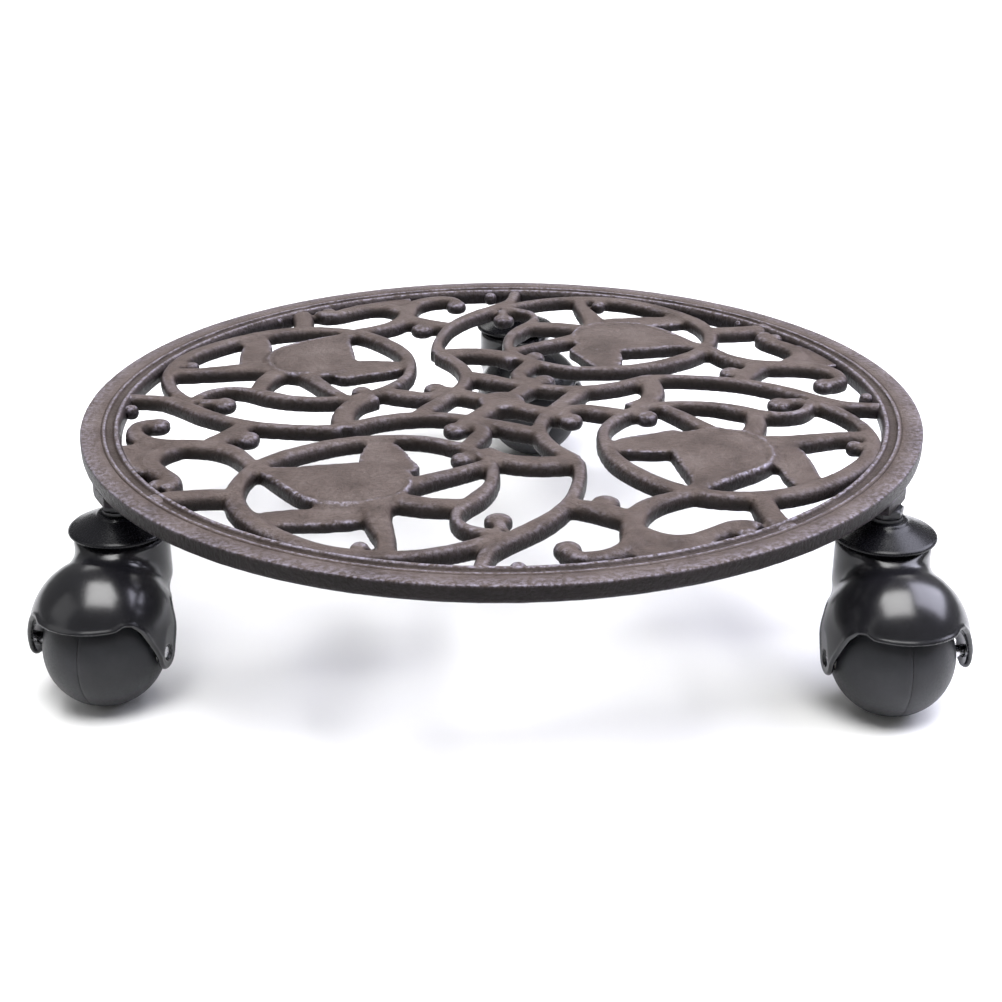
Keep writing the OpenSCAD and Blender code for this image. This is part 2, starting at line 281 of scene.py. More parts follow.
def ironFinish():
    # antique-brown cast iron: sandy skin, painted shade on the flanks and in the hollows, cool bare metal on
    # the ridges mixed with a lavender painted highlight
    finish, tree, shader, place = newFinish("antiqueIron")
    shader.inputs["Specular IOR Level"].default_value = 0.15
    patches = grain(tree, place, 60, 5)
    sand = grain(tree, place, 620, 5, 0.7)
    pits = grain(tree, place, 1900, 3, 0.6)
    skin = ramp(tree, patches, "Fac", [
        (0.30, (0.050, 0.036, 0.032)), (0.50, (0.079, 0.059, 0.053)), (0.72, (0.110, 0.087, 0.080))])
    surfaceShape = tree.nodes.new("ShaderNodeNewGeometry")
    edge = ramp(tree, surfaceShape, "Pointiness", [(0.512, (0, 0, 0)), (0.56, (1, 1, 1))])
    speckle = ramp(tree, sand, "Fac", [(0.42, (0.0, 0.0, 0.0)), (0.60, (1, 1, 1))])
    # ridge mask: partly real worn bare metal (it drives Metallic), partly a painted highlight
    wearAndGlintAmount = mathNode(tree, "MULTIPLY", (edge, "Color"), (speckle, "Color"))
    bare = mathNode(tree, "MULTIPLY", (wearAndGlintAmount, "Value"), 0.75)
    wire(tree, bare, "Value", shader, "Metallic")
    # lavender ridge colour: worn bare metal tinted with a painted highlight standing in for lamp glints
    bareMetalAndGlint = addNode(tree, "ShaderNodeMix", data_type="RGBA")
    bareMetalAndGlint.inputs[7].default_value = (0.34, 0.32, 0.40, 1)
    wire(tree, wearAndGlintAmount, 0, bareMetalAndGlint, 0)
    wire(tree, skin, "Color", bareMetalAndGlint, 6)
    # painted shade: concave spots, found by pointiness, are darkened
    paintedHollowShade = ramp(tree, surfaceShape, "Pointiness", [(0.43, (0.30, 0.28, 0.28)), (0.497, (1, 1, 1))])
    # painted shade: faces turned sideways or downwards are darkened by the up part of their normal
    facing = tree.nodes.new("ShaderNodeSeparateXYZ")
    wire(tree, surfaceShape, "Normal", facing, "Vector")
    paintedFlankShade = ramp(tree, facing, "Z", [
        (0.0, (0.09, 0.083, 0.08)), (0.55, (0.34, 0.32, 0.31)), (0.92, (1, 1, 1))])
    mottle = ramp(tree, sand, "Fac", [(0.30, (0.60, 0.58, 0.58)), (0.62, (1, 1, 1))])
    last, socket = bareMetalAndGlint, 2
    for layer in (paintedHollowShade, paintedFlankShade, mottle):
        shade = addNode(tree, "ShaderNodeMix", {0: 1.0}, data_type="RGBA", blend_type="MULTIPLY")
        wire(tree, last, socket, shade, 6)
        wire(tree, layer, "Color", shade, 7)
        last, socket = shade, 2
    wire(tree, last, socket, shader, "Base Color")
    rough = spread(tree, sand, "Fac", 0.30, 0.52)
    wire(tree, rough, "Result", shader, "Roughness")
    bumpStack(tree, shader, [(sand, "Fac", 0.75, 0.0010), (pits, "Fac", 0.5, 0.0003)])
    return finish


def plasticFinish(name, colour, roughLow, roughHigh, orangePeel, shine):
    finish, tree, shader, place = newFinish(name)
    tone = grain(tree, place, 120, 3)
    fine = grain(tree, place, 1400, 3)
    wave = grain(tree, place, 160, 1)
    dark = tuple(c * 0.8 for c in colour)
    light = tuple(c * 1.25 for c in colour)
    shades = ramp(tree, tone, "Fac", [(0.3, dark), (0.7, light)])
    wire(tree, shades, "Color", shader, "Base Color")
    rough = spread(tree, fine, "Fac", roughLow, roughHigh)
    wire(tree, rough, "Result", shader, "Roughness")
    shader.inputs["Specular IOR Level"].default_value = shine
    bumpStack(tree, shader, [(wave, "Fac", orangePeel, 0.0006), (fine, "Fac", 0.08, 0.0001)])
    return finish


def steelFinish(name, colour, roughLow, roughHigh, metallic=1.0):
    finish, tree, shader, place = newFinish(name)
    shader.inputs["Metallic"].default_value = metallic
    stretch = addNode(tree, "ShaderNodeMapping", {"Scale": (1, 1, 9)})
    wire(tree, place, "Object", stretch, "Vector")
    lines = addNode(tree, "ShaderNodeTexNoise", {"Scale": 700, "Detail": 3})
    wire(tree, stretch, "Vector", lines, "Vector")
    stains = grain(tree, place, 260, 3)
    dark = tuple(c * 0.75 for c in colour)
    shades = ramp(tree, stains, "Fac", [(0.35, dark), (0.65, colour)])
    wire(tree, shades, "Color", shader, "Base Color")
    rough = spread(tree, lines, "Fac", roughLow, roughHigh)
    wire(tree, rough, "Result", shader, "Roughness")
    bumpStack(tree, shader, [(lines, "Fac", 0.12, 0.0001)])
    return finish


# plastics: colour, lowest and highest roughness, orange peel, shine
# steels: colour, lowest and highest roughness, how metallic
finishes = {
    "cast_iron": ironFinish(),
    "hood_plastic": plasticFinish("blackHood", (0.0060, 0.0060, 0.0075), 0.20, 0.27, 0.03, 0.5),
    "cap_black": plasticFinish("blackCap", (0.0045, 0.0045, 0.0058), 0.22, 0.31, 0.03, 0.2),
    "ball_plastic": plasticFinish("greyBall", (0.0125, 0.0128, 0.0150), 0.42, 0.56, 0.03, 0.32),
    "sleeve_plastic": plasticFinish("naturalSleeve", (0.60, 0.60, 0.56), 0.35, 0.5, 0.05, 0.5),
    "black_steel": steelFinish("blackSteel", (0.012, 0.012, 0.014), 0.34, 0.50, 0.2),
    "zinc_steel": steelFinish("zincStud", (0.42, 0.42, 0.45), 0.28, 0.42),
    "spring_steel": steelFinish("springClip", (0.36, 0.36, 0.38), 0.30, 0.45),
    "bearing_steel": steelFinish("bearingSteel", (0.74, 0.74, 0.76), 0.08, 0.16),
    "bush_steel": steelFinish("turnedBush", (0.58, 0.58, 0.60), 0.25, 0.38),
    "axle_steel": steelFinish("brightAxle", (0.72, 0.72, 0.75), 0.18, 0.30),
}
print("finishes made:", len(finishes))

for entry in frame["record"]["subparts"]:
    cadNode = frame["nodes"][entry["node"]]
    cadNode.data.materials.clear()
    cadNode.data.materials.append(finishes[entry["material_slot"]])


def settle(piece, body, slotName, *cadNodes):
    if not piece.data.materials:
        piece.data.materials.append(finishes[slotName])
    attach(piece, body)
    if cadNodes:
        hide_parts(*cadNodes)
    return piece


plate = {
    "thick": 5.8,          # mm, underside of the scrollwork below the resting plane
    "barDrop": 0.35,       # mm, crown of the bars below the resting plane
    "step": 1.2,           # mm between the rings of a swept bar
    "voxel": 0.85,         # mm, grid on which the bars are fused
    "soften": 2,           # smoothing passes over the fused skin
    "skinCoarse": 0.26,    # mm, swell of the sand-cast skin
    "skinFine": 0.20,      # mm
    "keepFaces": 0.50,     # share of the faces kept at the end
    "carvedTop": -0.02,    # mm, highest that a carved leaf may stand
    "skinTop": -0.01,      # mm, highest that the finished skin may stand
    "hubRadius": 8.5,      # mm
    "halfSection": [(1.0, -0.97), (1.0, -0.45), (0.96, -0.30), (0.84, -0.16), (0.62, -0.06), (0.32, -0.01)],
}

# one quarter of the scrollwork: x, y and bar width in mm along each scroll
scrolls = [
    [(24.5, -57, 6), (24.8, -66, 5), (23.5, -76, 5), (20.5, -88, 5.5), (15, -99, 6.5), (8, -108, 7.5),
     (0, -116.5, 7), (-5.5, -124, 6), (-7.5, -133, 5.5), (-8, -138, 6)],
    [(-1, -112.5, 5), (-10, -119.5, 6), (-20, -124.3, 5.5), (-32, -127, 6), (-45, -126, 7),
     (-57, -121.5, 7.5), (-68, -113, 7.5), (-77, -103, 7.5), (-83.5, -92, 7.5), (-86.5, -80, 7),
     (-85.5, -68, 6.5), (-81.5, -58, 7), (-75.5, -50.5, 7.5), (-67, -43.8, 7.5), (-57.5, -38.6, 7),
     (-47, -35.6, 6), (-36, -34.8, 5), (-27, -36, 5), (-18, -40.5, 5.5), (-10, -47.5, 6),
     (-5, -56, 5), (-3.8, -66, 5), (-5, -76, 5.5), (-9, -85, 7), (-14, -93.5, 5.5), (-15.6, -101, 4),
     (-13, -107.5, 4.5), (-7, -111.5, 5), (-2, -112, 5)],
    [(-2.5, -101.5, 4.5), (-2.2, -106, 5), (-2, -110, 5)],
    [(-13, -90.5, 7), (-24, -89.5, 8), (-34, -86, 9)],
    [(-5, -57, 5), (-14, -63.5, 6), (-24, -69.5, 7), (-32, -74.5, 8)],
    [(-40, -88, 10), (-40, -98, 9.5), (-38, -108, 8), (-36.3, -116, 6.5), (-36, -126, 7)],
    [(20.5, -91, 7), (28, -94, 9), (37, -100, 9)],
    [(58, -84, 6), (50, -88, 7), (44, -93, 8), (40, -100, 8.5), (38.5, -108, 8.5), (38, -116, 8.5),
     (35, -123, 8), (28.5, -128, 7), (21, -128.5, 6), (17.5, -124, 6)],
    [(38, -110, 8), (47, -117.5, 8), (55, -118, 8), (62, -114, 8), (68, -109, 7), (73, -107.5, 6),
     (77, -110, 5)],
    [(81, -86, 8), (81.5, -97, 8.5), (83, -106, 9), (86, -112, 9)],
    [(-6, -46, 6), (0, -53.5, 8.5), (9, -56.5, 9), (18, -56.5, 9), (26, -55, 8)],
    [(-54, -23, 7), (-45, -17.5, 6.5), (-36, -14, 6.5), (-27, -13, 6), (-18, -14.5, 6), (-9, -18, 6),
     (-1, -22.5, 7), (5, -26, 8), (13, -30.5, 7)],
    [(-12.5, -44, 7), (-9, -35, 8), (-7, -29, 7), (-9, -23.5, 6), (-14.5, -21.5, 6)],
    [(0, 0, 8), (-12, 8, 8), (-22, 14, 7)],
]
knobs = [
    (-2.5, -101.5, 4.6), (-14, -52, 4), (-44, -120, 3), (31.5, -89, 4.8), (17.8, -122, 4.4),
    (72.5, -112.5, 3.5), (2.8, -134.5, 2.8), (92.5, -101, 2), (-16.5, -24.5, 4.5),
]
# flat leaves: outline, height of the top below the resting plane, rise of the crown
leaves = {
    "cup": ([(-84, -59), (-72, -60), (-60, -58), (-47, -56.5), (-38, -58), (-31, -64), (-29, -74),
             (-32, -84), (-40, -90), (-50, -92), (-60, -90), (-67, -84), (-73, -76), (-79, -67)], 0.9, 0.8),
    "topPetal": ([(-48, -57), (-48.5, -48), (-47, -40), (-44, -36.5), (-38, -38), (-34, -44), (-31, -52),
                  (-28, -60), (-34, -66), (-44, -64)], 1.7, 0.6),
    "lowPetal": ([(-80, -97), (-76, -93.5), (-68, -91.5), (-58, -90.5), (-48, -88), (-42, -92),
                  (-45, -101), (-55, -103), (-66, -103.5), (-75, -103)], 2.1, 0.6),
    "leafWeb": ([(40, -114), (48, -120), (60, -118), (62, -121), (50, -127.5), (38, -131.5)], 1.6, 0.0),
}
carving = {   # mm
    "crownFade": 5.5,                                        # from a leaf's edge to its crown
    "ridgeIn": 1.3, "ridgeHalf": 0.8, "ridgeRise": 0.45,     # light line along the cup's front edge
    "valleyIn": 3.1, "valleyHalf": 0.9, "valleyDepth": 0.3,  # shallow line behind it
    "frontFrom": -66, "frontFade": 10,                       # where the line starts and how it grows
    "budPlace": (-44, -81.5), "budHalf": (5.2, 2.6), "budRise": 0.12, "budFall": 1.6,
    "rimDepth": 0.22, "rimAt": 1.6, "rimHalf": 0.6,          # cut round the bud
    "upwards": 0.35,                                         # least upward part of a normal that is carved
    "levelBand": 0.8,                                        # how far from its level a leaf's top may be
}


def curveFrom(name, rows, closed=False):
    curve = bpy.data.curves.new(name, "CURVE")
    curve.dimensions = "3D"
    for row in rows:
        spline = curve.splines.new("POLY")
        spline.points.add(len(row) - 1)
        for point, (x, y, width) in zip(spline.points, row):
            point.co = (x * mm, y * mm, 0, 1)
            point.radius = width / 2 * mm
        spline.use_cyclic_u = closed
    return newObject(name, curve)


def slabMesh(outline, bottom, top):
    points = smoothLoop(outline, 4)
    count = len(points)
    low = [(x, y, bottom) for x, y in points]
    high = [(x, y, top) for x, y in points]
    faces = [list(range(count))[::-1], [count + i for i in range(count)]]
    faces += [[i, (i + 1) % count, count + (i + 1) % count, count + i] for i in range(count)]
    return np.array(low + high), faces


def scrollTree():
    tree = bpy.data.node_groups.new("sweepScrolls", "GeometryNodeTree")
    face = tree.interface
    face.new_socket("Geometry", in_out="INPUT", socket_type="NodeSocketGeometry")
    for name in ("Bar Depth", "Bar Drop", "Ring Step"):
        face.new_socket(name, in_out="INPUT", socket_type="NodeSocketFloat")
    face.new_socket("Quarters", in_out="INPUT", socket_type="NodeSocketInt")
    for name in ("Section", "Knob Places", "Leaves"):
        face.new_socket(name, in_out="INPUT", socket_type="NodeSocketObject")
    face.new_socket("Finish", in_out="INPUT", socket_type="NodeSocketMaterial")
    face.new_socket("Geometry", in_out="OUTPUT", socket_type="NodeSocketGeometry")
    source = tree.nodes.new("NodeGroupInput")
    result = tree.nodes.new("NodeGroupOutput")

    # bars: smooth the scrolls, keep their half width, sweep the section along them
    smooth = addNode(tree, "GeometryNodeCurveSplineType", spline_type="CATMULL_ROM")
    resample = addNode(tree, "GeometryNodeResampleCurve", mode="LENGTH")
    upright = addNode(tree, "GeometryNodeSetCurveNormal", mode="Z_UP")
    keep = addNode(tree, "GeometryNodeStoreNamedAttribute", {"Name": "halfWidth"},
                   data_type="FLOAT", domain="POINT")
    radius = tree.nodes.new("GeometryNodeInputRadius")
    section = tree.nodes.new("GeometryNodeObjectInfo")
    sweep = addNode(tree, "GeometryNodeCurveToMesh", {"Fill Caps": True})
    wire(tree, source, "Geometry", smooth, "Curve")
    wire(tree, smooth, "Curve", resample, "Curve")
    wire(tree, source, "Ring Step", resample, "Length")
    wire(tree, resample, "Curve", upright, "Curve")
    wire(tree, upright, "Curve", keep, "Geometry")
    wire(tree, radius, "Radius", keep, "Value")
    wire(tree, keep, "Geometry", sweep, "Curve")
    wire(tree, source, "Section", section, "Object")
    wire(tree, section, "Geometry", sweep, "Profile Curve")
    wire(tree, radius, "Radius", sweep, "Scale")

    # the sweep scales height with width, so bring every bar back to one depth
    width = addNode(tree, "GeometryNodeInputNamedAttribute", {"Name": "halfWidth"}, data_type="FLOAT")
    place = tree.nodes.new("GeometryNodeInputPosition")
    parts = tree.nodes.new("ShaderNodeSeparateXYZ")
    wire(tree, place, "Position", parts, "Vector")
    level = mathNode(tree, "DIVIDE", (parts, "Z"), (width, "Attribute"))
    deep = mathNode(tree, "MULTIPLY", (level, "Value"), None)
    wire(tree, source, "Bar Depth", deep, 1)
    drop = mathNode(tree, "SUBTRACT", (deep, "Value"), None)
    wire(tree, source, "Bar Drop", drop, 1)
    flat = tree.nodes.new("ShaderNodeCombineXYZ")
    wire(tree, parts, "X", flat, "X")
    wire(tree, parts, "Y", flat, "Y")
    wire(tree, drop, "Value", flat, "Z")
    even = tree.nodes.new("GeometryNodeSetPosition")
    wire(tree, sweep, "Mesh", even, "Geometry")
    wire(tree, flat, "Vector", even, "Position")

    # knobs: one rounded button on each knob place, as wide as the place's radius
    places = tree.nodes.new("GeometryNodeObjectInfo")
    wire(tree, source, "Knob Places", places, "Object")
    ball = addNode(tree, "GeometryNodeMeshUVSphere", {"Segments": 24, "Rings": 16, "Radius": 1.0})
    ballParts = tree.nodes.new("ShaderNodeSeparateXYZ")
    ballPlace = tree.nodes.new("GeometryNodeInputPosition")
    wire(tree, ballPlace, "Position", ballParts, "Vector")
    squareUp = mathNode(tree, "POWER", (mathNode(tree, "ABSOLUTE", (ballParts, "Z")), "Value"), 0.6)
    signUp = mathNode(tree, "SIGN", (ballParts, "Z"))
    tall = mathNode(tree, "MULTIPLY", (squareUp, "Value"), (signUp, "Value"))
    buttonAt = tree.nodes.new("ShaderNodeCombineXYZ")
    wire(tree, ballParts, "X", buttonAt, "X")
    wire(tree, ballParts, "Y", buttonAt, "Y")
    wire(tree, tall, "Value", buttonAt, "Z")
    button = tree.nodes.new("GeometryNodeSetPosition")
    wire(tree, ball, "Mesh", button, "Geometry")
    wire(tree, buttonAt, "Vector", button, "Position")
    size = addNode(tree, "GeometryNodeInputNamedAttribute", {"Name": "halfWidth"}, data_type="FLOAT")
    halfDepth = mathNode(tree, "MULTIPLY", None, 0.5)
    wire(tree, source, "Bar Depth", halfDepth, 0)
    knobSize = tree.nodes.new("ShaderNodeCombineXYZ")
    wire(tree, size, "Attribute", knobSize, "X")
    wire(tree, size, "Attribute", knobSize, "Y")
    wire(tree, halfDepth, "Value", knobSize, "Z")
    knobOn = tree.nodes.new("GeometryNodeInstanceOnPoints")
    wire(tree, places, "Geometry", knobOn, "Points")
    wire(tree, button, "Geometry", knobOn, "Instance")
    wire(tree, knobSize, "Vector", knobOn, "Scale")

    # leaves as they are, then the whole quarter turned round the centre
    leafSource = tree.nodes.new("GeometryNodeObjectInfo")
    wire(tree, source, "Leaves", leafSource, "Object")
    quarter = tree.nodes.new("GeometryNodeJoinGeometry")
    wire(tree, even, "Geometry", quarter, "Geometry")
    wire(tree, knobOn, "Instances", quarter, "Geometry")
    wire(tree, leafSource, "Geometry", quarter, "Geometry")
    whole = tree.nodes.new("GeometryNodeGeometryToInstance")
    wire(tree, quarter, "Geometry", whole, "Geometry")
    centre = tree.nodes.new("GeometryNodePoints")
    wire(tree, source, "Quarters", centre, "Count")
    index = tree.nodes.new("GeometryNodeInputIndex")
    turn = mathNode(tree, "MULTIPLY", (index, "Index"), math.pi / 2)
    aim = tree.nodes.new("ShaderNodeCombineXYZ")
    wire(tree, turn, "Value", aim, "Z")
    around = tree.nodes.new("GeometryNodeInstanceOnPoints")
    wire(tree, centre, 0, around, "Points")
    wire(tree, whole, "Instances", around, "Instance")
    wire(tree, aim, "Vector", around, "Rotation")
    real = tree.nodes.new("GeometryNodeRealizeInstances")
    wire(tree, around, "Instances", real, "Geometry")
    paint = tree.nodes.new("GeometryNodeSetMaterial")
    wire(tree, real, "Geometry", paint, "Geometry")
    wire(tree, source, "Finish", paint, "Material")
    wire(tree, paint, "Geometry", result, "Geometry")
    return tree


skinNoise = {"coarseScale": 170, "fineScale": 520, "middle": 0.55}


def castSkinTree():
    # swells the skin along its normals by two sizes of noise
    tree = bpy.data.node_groups.new("castSkin", "GeometryNodeTree")
    face = tree.interface
    face.new_socket("Geometry", in_out="INPUT", socket_type="NodeSocketGeometry")
    for name in ("Coarse", "Fine"):
        face.new_socket(name, in_out="INPUT", socket_type="NodeSocketFloat")
    face.new_socket("Finish", in_out="INPUT", socket_type="NodeSocketMaterial")
    face.new_socket("Geometry", in_out="OUTPUT", socket_type="NodeSocketGeometry")
    source = tree.nodes.new("NodeGroupInput")
    result = tree.nodes.new("NodeGroupOutput")
    total = None
    for socket, scale in (("Coarse", skinNoise["coarseScale"]), ("Fine", skinNoise["fineScale"])):
        noise = addNode(tree, "ShaderNodeTexNoise", {"Scale": scale, "Detail": 2.0})
        centred = mathNode(tree, "SUBTRACT", (noise, "Fac"), skinNoise["middle"])
        part = mathNode(tree, "MULTIPLY", (centred, "Value"), None)
        wire(tree, source, socket, part, 1)
        total = part if total is None else mathNode(tree, "ADD", (total, "Value"), (part, "Value"))
    normal = tree.nodes.new("GeometryNodeInputNormal")
    push = addNode(tree, "ShaderNodeVectorMath", operation="SCALE")
    wire(tree, normal, "Normal", push, 0)
    wire(tree, total, "Value", push, "Scale")
    move = tree.nodes.new("GeometryNodeSetPosition")
    wire(tree, source, "Geometry", move, "Geometry")
    wire(tree, push, "Vector", move, "Offset")
    real = tree.nodes.new("GeometryNodeRealizeInstances")
    wire(tree, move, "Geometry", real, "Geometry")
    paint = tree.nodes.new("GeometryNodeSetMaterial")
    wire(tree, real, "Geometry", paint, "Geometry")
    wire(tree, source, "Finish", paint, "Material")
    wire(tree, paint, "Geometry", result, "Geometry")
    return tree


def useTree(piece, tree, values):
    modifier = piece.modifiers.new(tree.name, "NODES")
    modifier.node_group = tree
    for socket in tree.interface.items_tree:
        if socket.in_out == "INPUT" and socket.name in values:
            modifier[socket.identifier] = values[socket.name]
    return modifier


def edgeDistance(x, y, outline):
    # signed distance to a closed outline, positive inside
    best = np.full(x.shape, 1e9)
    inside = np.zeros(x.shape, bool)
    for (ax, ay), (bx, by) in zip(outline, np.roll(outline, -1, axis=0)):
        dx, dy = bx - ax, by - ay
        along = np.clip(((x - ax) * dx + (y - ay) * dy) / (dx * dx + dy * dy), 0, 1)
        best = np.minimum(best, np.hypot(x - ax - along * dx, y - ay - along * dy))
        if ay != by:
            crosses = ((ay > y) != (by > y)) & (x < (bx - ax) * (y - ay) / (by - ay) + ax)
            inside ^= crosses
    return np.where(inside, best, -best)


def bell(distance, halfWidth):
    return np.exp(-(distance / halfWidth) ** 2)


def cupRelief(x, y, depth):
    # ridge along the cup's front edge with a valley behind it, and a small bud
    front = np.clip((carving["frontFrom"] - y) / carving["frontFade"], 0, 1)
    ridge = carving["ridgeRise"] * bell(depth - carving["ridgeIn"], carving["ridgeHalf"])
    valley = carving["valleyDepth"] * bell(depth - carving["valleyIn"], carving["valleyHalf"])
    budX, budY = carving["budPlace"]
    halfX, halfY = carving["budHalf"]
    ring = ((x - budX) / halfX) ** 2 + ((y - budY) / halfY) ** 2
    bud = carving["budRise"] * np.exp(-ring * carving["budFall"])
    cut = carving["rimDepth"] * bell(ring - carving["rimAt"], carving["rimHalf"])
    return front * (ridge - valley) + bud - cut


def carveLeaves(mesh):
    # crowns the petals and cuts the line inside the cup's edge, on every quarter at once
    points, normals = meshArrays(mesh)
    x, y, z = (points / mm).T
    for turn in range(4):
        swap = (x > 0) | (y > 0)
        x, y = np.where(swap, y, x), np.where(swap, -x, y)
    upper = normals[:, 2] > carving["upwards"]
    rise = np.zeros(len(x))
    for name in ("lowPetal", "topPetal", "cup"):
        outline, drop, crown = leaves[name]
        depth = edgeDistance(x, y, smoothLoop(outline, 4))
        onLeaf = upper & (depth > 0) & (np.abs(z + drop) < carving["levelBand"])
        lift = crown * (1 - np.exp(-np.maximum(depth, 0) / carving["crownFade"]))
        if name == "cup":
            lift = lift + cupRelief(x, y, depth)
        rise = np.where(onLeaf, lift, rise)
    points[:, 2] += rise * mm
    points[:, 2] = np.minimum(points[:, 2], plate["carvedTop"] * mm)
    movePoints(mesh, points)


def buildScrollwork():
    path = curveFrom("scrollPaths", scrolls)
    section = bpy.data.curves.new("barSection", "CURVE")
    section.dimensions = "3D"
    half = plate["halfSection"]
    ring = [(0.9, -1.0)] + half + [(0, 0)] + [(-a, b) for a, b in half[::-1]] + [(-0.9, -1.0)]
    spline = section.splines.new("POLY")
    spline.points.add(len(ring) - 1)
    for point, (across, up) in zip(spline.points, ring):
        point.co = (-across, -up, 0, 1)
    spline.use_cyclic_u = True
    sectionObject = newObject("barSection", section)

    knobHeight = -(plate["barDrop"] + plate["thick"] / 2) * mm
    knobMesh = newMesh("knobPlaces", [(x * mm, y * mm, knobHeight) for x, y, _ in knobs], [])
    widths = knobMesh.attributes.new("halfWidth", "FLOAT", "POINT")
    for item, (_, _, radius) in zip(widths.data, knobs):
        item.value = radius * mm
    knobObject = newObject("knobPlaces", knobMesh)

    slabs = [slabMesh(outline, -plate["thick"], -drop) for outline, drop, _ in leaves.values()]
    hub = plate["hubRadius"]
    hubSection = [(0, -plate["thick"]), (hub, -plate["thick"]), (hub, -0.8), (hub - 0.8, -0.1),
                  (hub * 0.5, 0), (0, 0)]
    slabs.append(lathe(hubSection, 48))
    slabPoints, slabFaces = joinParts(slabs)
    leafObject = newObject("leafSlabs", newMesh("leafSlabs", slabPoints * mm, slabFaces))

    useTree(path, scrollTree(), {
        "Bar Depth": (plate["thick"] - plate["barDrop"]) * mm, "Bar Drop": plate["barDrop"] * mm,
        "Ring Step": plate["step"] * mm, "Quarters": 4, "Section": sectionObject,
        "Knob Places": knobObject, "Leaves": leafObject, "Finish": finishes["cast_iron"]})
    swept = bakeDown(path, "castScrollwork")
    print("swept bars:", len(swept.data.polygons), "faces")
    for helper in (sectionObject, knobObject, leafObject):
        bpy.data.objects.remove(helper)

    fuse = swept.modifiers.new("fuse", "REMESH")
    fuse.mode = "VOXEL"
    fuse.voxel_size = plate["voxel"] * mm
    soften = swept.modifiers.new("soften", "SMOOTH")
    soften.factor = 0.5
    soften.iterations = plate["soften"]
    swept = bakeDown(swept, "castScrollwork")
    print("fused bars:", len(swept.data.polygons), "faces")
    carveLeaves(swept.data)
    useTree(swept, castSkinTree(), {
        "Coarse": plate["skinCoarse"] * mm, "Fine": plate["skinFine"] * mm, "Finish": finishes["cast_iron"]})
    thin = swept.modifiers.new("thin", "DECIMATE")
    thin.ratio = plate["keepFaces"]
    swept = bakeDown(swept, "castScrollwork")
    points, _ = meshArrays(swept.data)
    points[:, 2] = np.minimum(points[:, 2], plate["skinTop"] * mm)
    movePoints(swept.data, points)
    smoothShade(swept.data)
    print("casting skin:", len(swept.data.polygons), "faces")
    return settle(swept, "plate", "cast_iron", "cast_plate")


buildScrollwork()

rim = {
    "steps": 540,
    "section": [(136, -5.6), (136.4, -6), (149, -6), (149.7, -5.4), (150, -4.5), (150, -1.0),
                (149.85, -0.45), (149.5, -0.15), (149.0, -0.05), (143.2, -0.12), (142.7, -0.5),
                (142.3, -0.12), (141.8, -0.05), (141.3, -0.15), (141, -0.7), (140.5, -1.1),
                (139, -1.15), (138.6, -0.9), (138.3, -0.3), (137.8, -0.05), (137.2, -0.1),
                (136.8, -0.5), (136.2, -1.4), (136, -2.2)],
    "padSection": [(3.2, -5), (3.2, -9), (8.2, -9), (8.8, -8.7), (9, -8), (9, -5)],   # about a stud's axis
    "outerLimit": 149.9, "topLimit": -0.01,   # mm
    "skinCoarse": 0.24, "skinFine": 0.15,     # mm
}


def buildRim():
    parts = [lathe(rim["section"], rim["steps"])]
    for side in sides:
        stem = joints["swivel_" + side]["pos_m"]
        padPoints, padFaces = lathe(rim["padSection"], 96)
        padPoints = padPoints + (stem[0] / mm, stem[1] / mm, 0)
        reach = np.hypot(padPoints[:, 0], padPoints[:, 1])
        padPoints[:, :2] *= np.minimum(1, rim["outerLimit"] / reach)[:, None]
        parts.append((padPoints, padFaces))
    points, faces = joinParts(parts)
    piece = newObject("castRim", newMesh("castRim", points * mm, faces))
    useTree(piece, bpy.data.node_groups["castSkin"], {
        "Coarse": rim["skinCoarse"] * mm, "Fine": rim["skinFine"] * mm, "Finish": finishes["cast_iron"]})
    piece = bakeDown(piece, "castRim")
    points, _ = meshArrays(piece.data)
    reach = np.hypot(points[:, 0], points[:, 1])
    points[:, :2] *= np.minimum(1, rim["outerLimit"] * mm / reach)[:, None]
    points[:, 2] = np.minimum(points[:, 2], rim["topLimit"] * mm)
    movePoints(piece.data, points)
    smoothShade(piece.data, 50)
    print("rim:", len(piece.data.polygons), "faces")
    return settle(piece, "plate", "cast_iron", "cast_plate")


buildRim()


def casterPlace(side):
    # caster frame: origin on the stem at the resting plane, X trails towards the ball, Y along the axle
    stem = Vector(joints["swivel_" + side]["pos_m"])
    ball = Vector(joints["roll_" + side]["pos_m"])
    turn = math.atan2(ball.y - stem.y, ball.x - stem.x)
    return Matrix.Translation((stem.x, stem.y, 0)) @ Matrix.Rotation(turn, 4, "Z")


leftStem = Vector(joints["swivel_left"]["pos_m"])
leftBall = Vector(joints["roll_left"]["pos_m"])
trail = (leftBall - leftStem).to_2d().length / mm
ballHeight = leftBall.z / mm

hood = {
    "grid": 0.5, "low": (-18, -26, -60), "high": (48, 26, -17),   # all in mm
    "domeRadius": 23.8, "domeBack": 3, "domeRise": 5,
    "bossRadius": 15.5, "bossSpan": (-39, -20.6), "bossRound": 2.5,
    "neckRadius": 14, "neckSpan": (-24, -18.6), "neckRound": 0.5, "blend": 4.5,
    "cavityRadius": 22.2, "earRadius": 4.9, "earFlat": 23.5,
    "axleBore": 2, "pocketRadius": 2.6, "pocketFloor": 22.8,
    "bushRadius": 6, "boreBottom": -35, "raceRadius": 10.4, "raceTube": 1.3, "raceHeight": -18.1,
    "lipTube": 0.7, "lipIn": 0.45, "lipBlend": 0.6, "soften": 0.5,
}
# side view of the space below the hood's edge: forwards and up from the axle, in mm
mouth = [
    (60, 14.2), (15, 14.2), (12.5, 15.2), (10.3, 14.6), (8.5, 11.5), (7, 6), (4.9, 0),
    (-4.9, 0), (-7, 6), (-8.5, 11.5), (-11, 13.6), (-60, 13.6), (-60, -60), (60, -60),
]


def blendMin(a, b, width):
    near = np.maximum(width - np.abs(a - b), 0) / width
    return np.minimum(a, b) - near * near * width / 4


